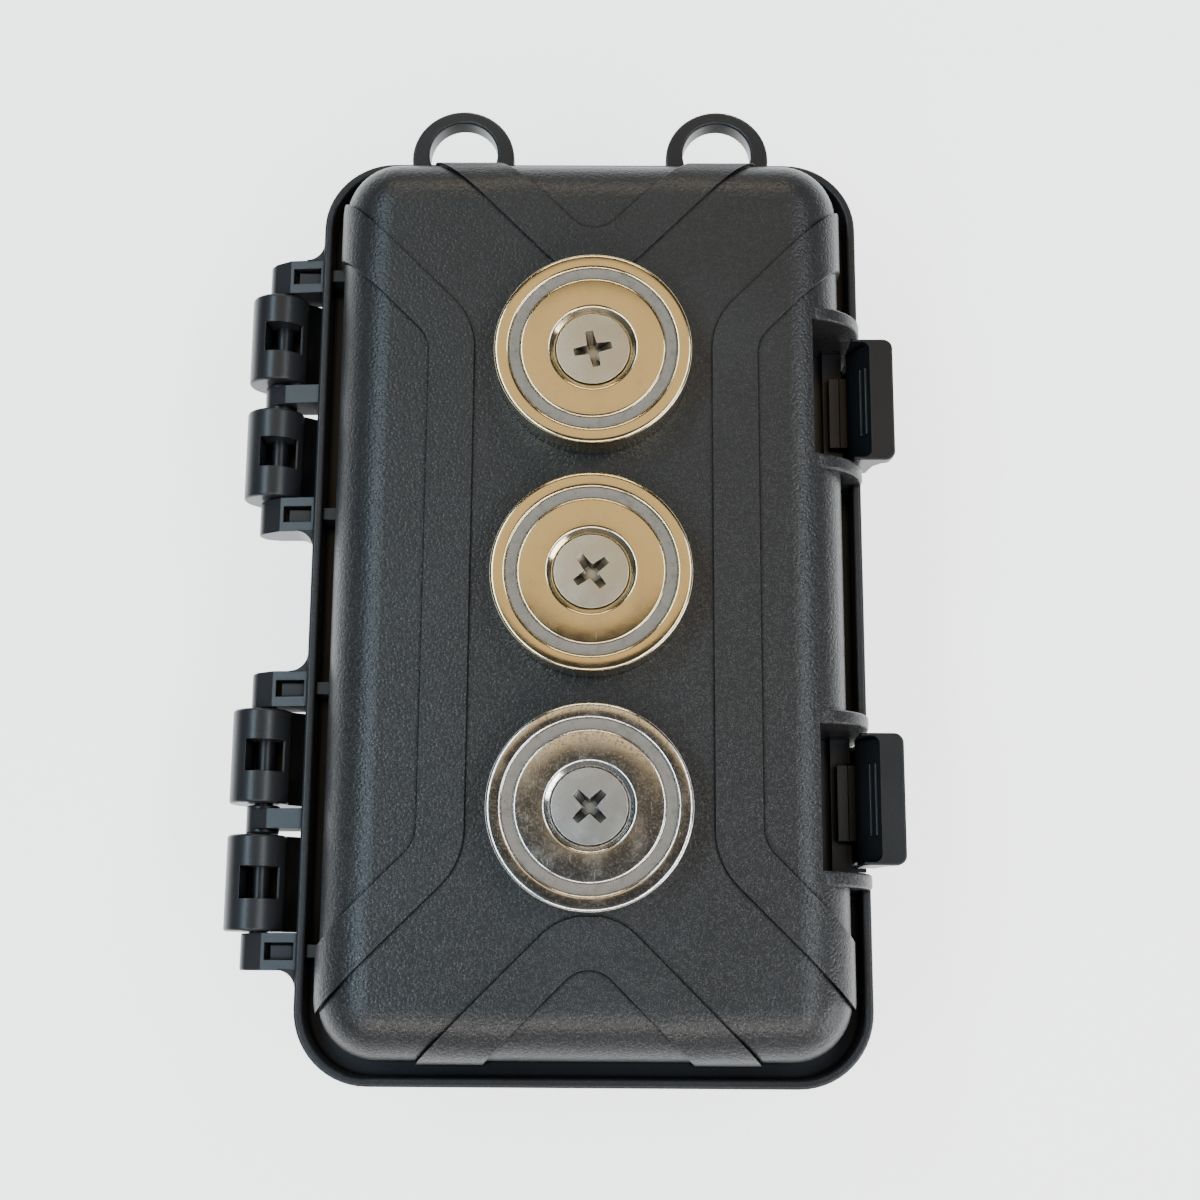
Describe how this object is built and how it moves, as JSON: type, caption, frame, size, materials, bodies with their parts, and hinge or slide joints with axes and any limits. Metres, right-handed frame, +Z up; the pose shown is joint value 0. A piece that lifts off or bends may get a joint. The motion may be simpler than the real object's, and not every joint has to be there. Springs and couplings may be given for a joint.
{
  "type": "magnetic key holder box",
  "caption": "Hinged clamshell key box with side latches, lanyard loops and pot magnets on its lid, for keeping keys on a steel surface.",
  "frame": {"origin": "bottom centre of the whole closed box, on the face it lies on", "axes": "+Z up from the resting face to the magnets, +Y along the box to the lanyard loops, +X from the hinges to the latches"},
  "size_m": [0.1096, 0.1658, 0.0555],
  "materials": {
    "base_plastic": "fine grained black moulding",
    "lid_plastic": "fine grained black moulding",
    "latch_plastic": "satin black moulding",
    "seal_rubber": "matt black",
    "pin_steel": "blackened steel",
    "cup_nickel": "nickel plated steel",
    "magnet_nickel": "nickel plated magnet",
    "filler_resin": "grey potting resin",
    "screw_zinc": "zinc plated steel"
  },
  "bodies": {
    "base": {"base_shell": "base_plastic", "lid_seal": "seal_rubber", "hinge_pin_upper": "pin_steel", "hinge_pin_lower": "pin_steel", "latch_pin_upper": "pin_steel", "latch_pin_lower": "pin_steel"},
    "lid": {"lid_shell": "lid_plastic", "magnet_cup_1": "cup_nickel", "magnet_ring_1": "magnet_nickel", "magnet_filler_1": "filler_resin", "magnet_screw_1": "screw_zinc", "magnet_washer_1": "screw_zinc", "magnet_nut_1": "screw_zinc", "magnet_cup_2": "cup_nickel", "magnet_ring_2": "magnet_nickel", "magnet_filler_2": "filler_resin", "magnet_screw_2": "screw_zinc", "magnet_washer_2": "screw_zinc", "magnet_nut_2": "screw_zinc", "magnet_cup_3": "cup_nickel", "magnet_ring_3": "magnet_nickel", "magnet_filler_3": "filler_resin", "magnet_screw_3": "screw_zinc", "magnet_washer_3": "screw_zinc", "magnet_nut_3": "screw_zinc"},
    "upper_latch": {"latch_upper": "latch_plastic"},
    "lower_latch": {"latch_lower": "latch_plastic"}
  },
  "joints": [
    {"name": "lid_hinge", "type": "hinge", "parent": "base", "child": "lid", "pos_m": [-0.04922, -0.00453, 0.0322], "axis": [0, -1, 0], "range_deg": [0, 170]},
    {"name": "upper_latch_pivot", "type": "hinge", "parent": "base", "child": "upper_latch", "pos_m": [0.04713, 0.02898, 0.02], "axis": [0, 1, 0], "range_deg": [0, 115]},
    {"name": "lower_latch_pivot", "type": "hinge", "parent": "base", "child": "lower_latch", "pos_m": [0.04713, -0.03773, 0.02], "axis": [0, 1, 0], "range_deg": [0, 115]}
  ]
}
